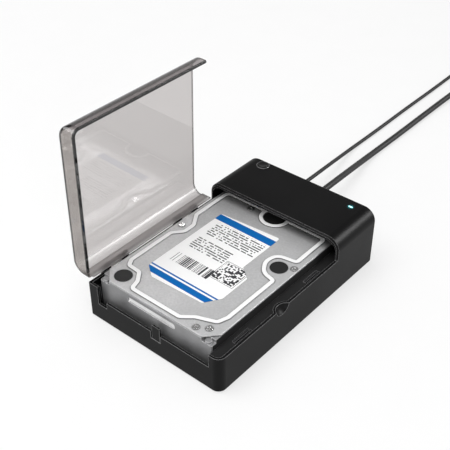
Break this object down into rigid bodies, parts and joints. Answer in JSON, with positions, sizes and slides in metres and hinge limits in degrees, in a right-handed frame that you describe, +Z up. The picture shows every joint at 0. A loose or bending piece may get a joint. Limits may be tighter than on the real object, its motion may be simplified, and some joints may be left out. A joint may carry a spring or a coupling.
{
  "type": "hard drive docking station",
  "caption": "Flat desktop dock for a full-size hard drive, with a hinged smoked cover, a power button and light, a docked drive, a data cord and a supply cord.",
  "frame": {"origin": "on the table, under the middle of the case and open cover's outline", "axes": "+Z up, +Y from the open front towards the hood and sockets, +X from the hinge side to the latch side"},
  "size_m": [0.1758, 0.6288, 0.15],
  "materials": {
    "case": "fine satin grain",
    "inner_case": "fine grain",
    "feet": "matte",
    "smoke": "smoked, polished",
    "button": "satin",
    "plunger": "satin",
    "switch": "matte",
    "light": "clear, lit from below",
    "led": "satin",
    "board": "solder mask",
    "chips": "matte",
    "port_steel": "satin",
    "contacts": "gold plated",
    "cans": "satin",
    "choke": "ferrite grey",
    "screws": "blackened",
    "pins": "satin",
    "casting": "cast, matte",
    "lid": "satin",
    "label": "printed film",
    "stickers": "foil",
    "drive_steel": "satin",
    "drive_plastic": "matte",
    "cord": "matte jacket",
    "plugs": "moulded",
    "ties": "matte",
    "nickel": "nickel plated",
    "adapter": "satin"
  },
  "bodies": {
    "base": {"outer_shell": "case", "bay_tray": "inner_case", "bottom_plate": "inner_case", "rubber_feet": "feet", "power_switch": "switch", "sata_receptacle": "switch", "dc_jack": "switch", "controller_chip": "switch", "usb_port_insert": "switch", "light_pipe": "light", "status_led": "led", "circuit_board": "board", "switch_board": "board", "riser_board": "board", "usb_port": "port_steel", "usb_plug_tip": "port_steel", "usb_a_tip": "port_steel", "sata_contacts": "contacts", "chip_legs": "contacts", "dc_jack_pin": "contacts", "capacitors": "cans", "crystal": "cans", "inductor": "choke", "case_screws": "screws", "tray_screws": "screws", "board_screws": "screws", "roof_screws": "screws", "hinge_pins": "pins", "usb_cord": "cord", "usb_coil": "cord", "usb_tail": "cord", "dc_cord": "cord", "dc_coil": "cord", "dc_tail": "cord", "usb_plug": "plugs", "usb_boot": "plugs", "usb_a_boot": "plugs", "usb_a_plug": "plugs", "dc_plug": "plugs", "dc_boot": "plugs", "adapter_boot": "plugs", "usb_tie": "ties", "dc_tie": "ties", "dc_barrel": "nickel", "adapter_prongs": "nickel", "adapter": "adapter"},
    "cover": {"cover": "smoke"},
    "button": {"power_button": "button", "switch_plunger": "plunger"},
    "drive": {"drive_casting": "casting", "drive_lid": "lid", "drive_label": "label", "drive_stickers": "stickers", "drive_screws": "drive_steel", "drive_board": "board", "drive_chips": "chips", "drive_board_screws": "drive_steel", "drive_connector": "drive_plastic"}
  },
  "joints": [
    {"name": "cover_hinge", "type": "hinge", "parent": "base", "child": "cover", "pos_m": [-0.05243, 0, 0.0305], "axis": [0, 1, 0], "range_deg": [0, 89.2]},
    {"name": "button_slide", "type": "slide", "parent": "base", "child": "button", "axis": [0, 0, -1], "range_m": [0, 0.001], "stiffness_N_per_m": 800, "springref_m": -0.001},
    {"name": "drive_slide", "type": "slide", "parent": "base", "child": "drive", "axis": [0, -1, 0], "range_m": [0, 0.003]}
  ]
}
